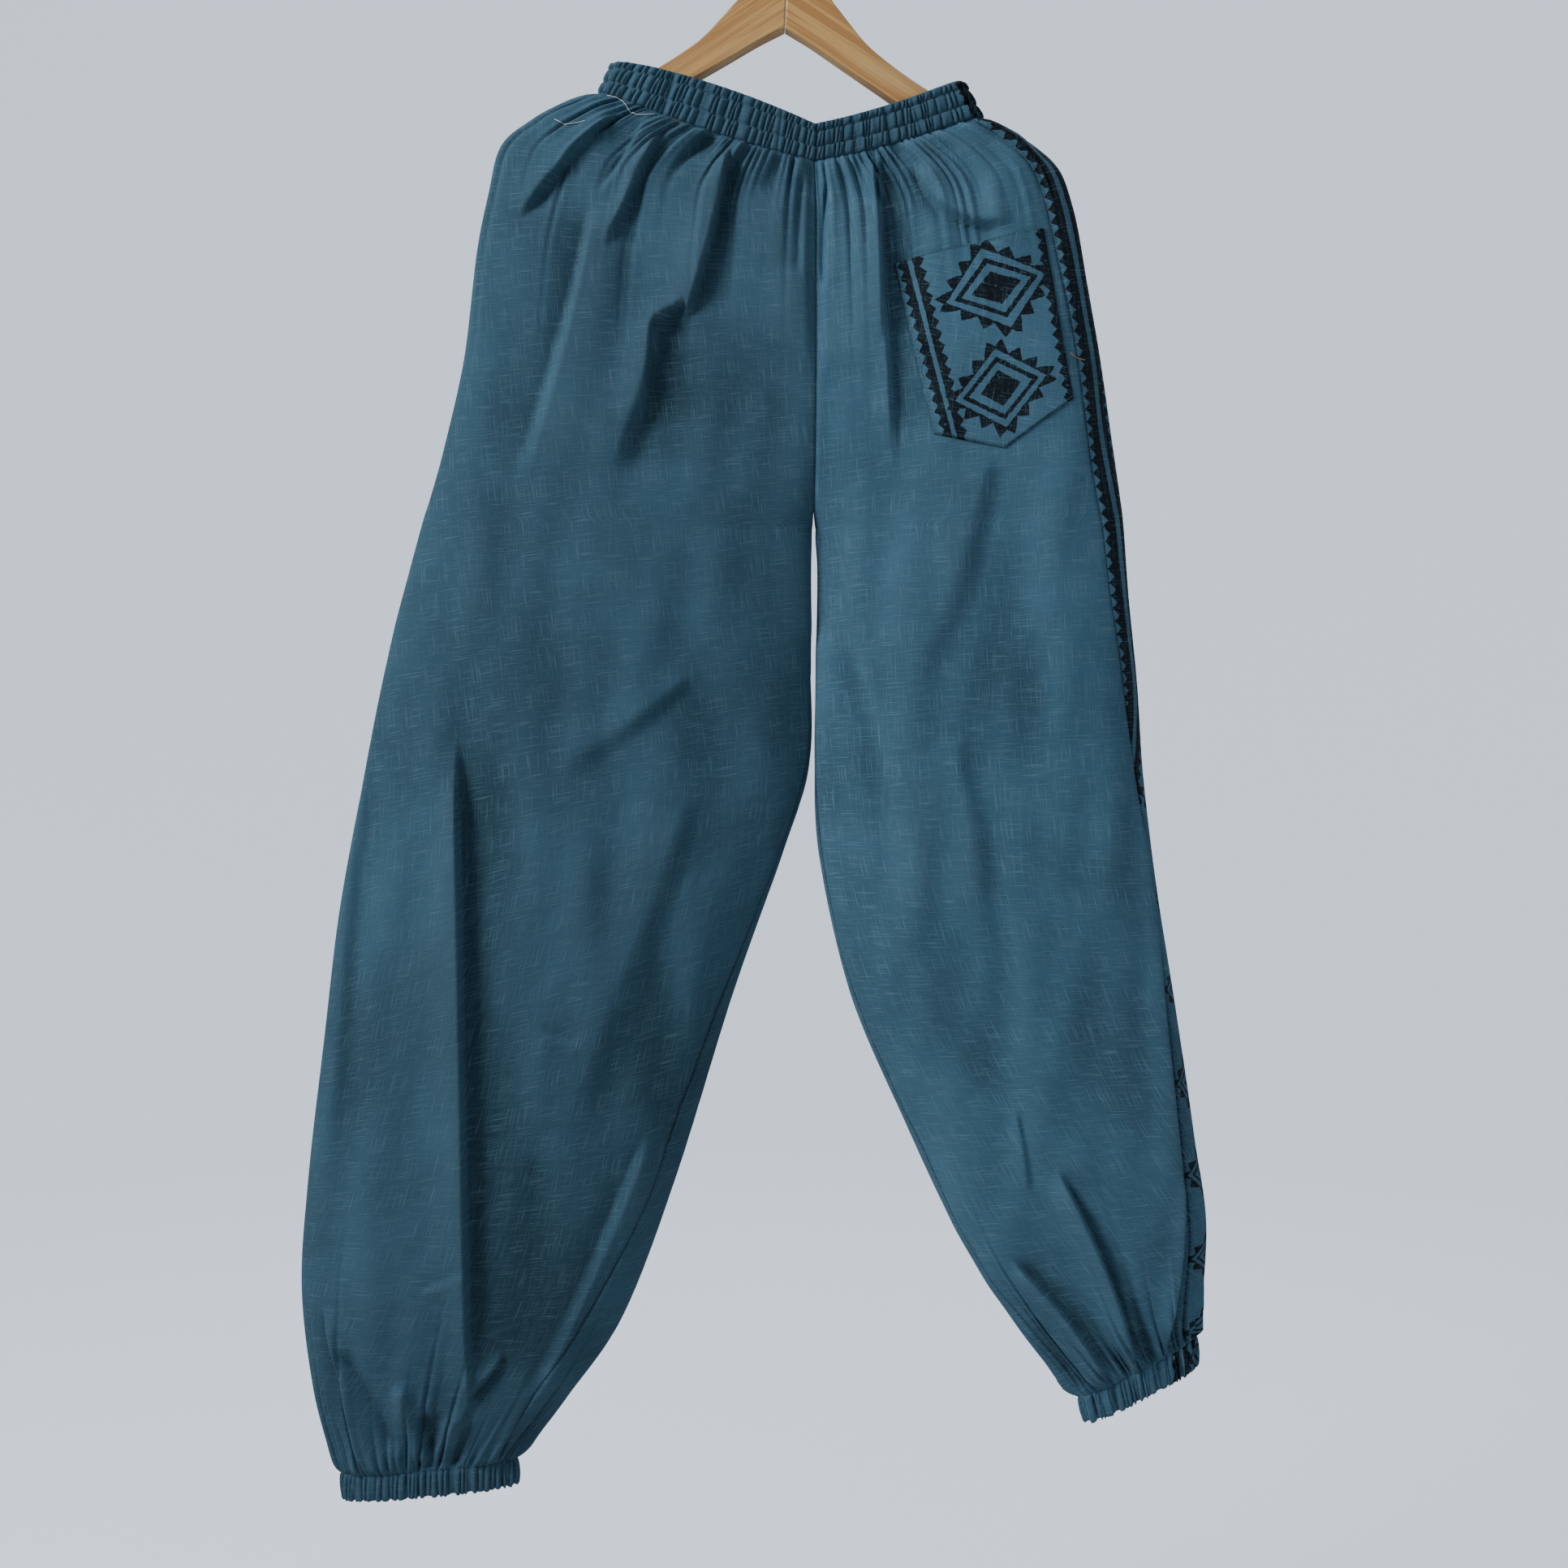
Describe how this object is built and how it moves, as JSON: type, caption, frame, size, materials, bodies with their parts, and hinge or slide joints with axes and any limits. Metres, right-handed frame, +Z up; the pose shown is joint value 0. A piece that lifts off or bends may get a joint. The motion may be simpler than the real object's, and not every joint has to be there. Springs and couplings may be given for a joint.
{
  "type": "cotton trousers on a hanger",
  "caption": "Loose slubby cotton trousers with a shirred elastic waistband, gathered cuffs, a printed side panel and a patch pocket, hung by the waist on a flat wooden hanger.",
  "frame": {"origin": "inside top of the hanger's hook, where it sits on a rail", "axes": "+Z up, +X towards the wearer's right, -Y out of the back of the trousers"},
  "size_m": [0.6433, 0.0639, 1.1511],
  "materials": {
    "cotton": "matt slub-woven cotton",
    "printed_cotton": "matt slub-woven cotton with a near-black block print",
    "band_cotton": "matt cotton shirred over elastic",
    "pine": "satin lacquered pale pine",
    "hook_wire": "bright plated wire"
  },
  "bodies": {
    "root": {"back_panel_left": "cotton", "back_panel_right": "cotton", "front_panel_left": "cotton", "front_panel_right": "cotton", "side_panel_left": "printed_cotton", "side_panel_right": "printed_cotton", "back_pocket": "printed_cotton", "waistband": "band_cotton", "cuff_left": "cotton", "cuff_right": "cotton", "hanger_arm_left": "pine", "hanger_arm_right": "pine", "hanger_hook": "hook_wire"}
  },
  "joints": []
}
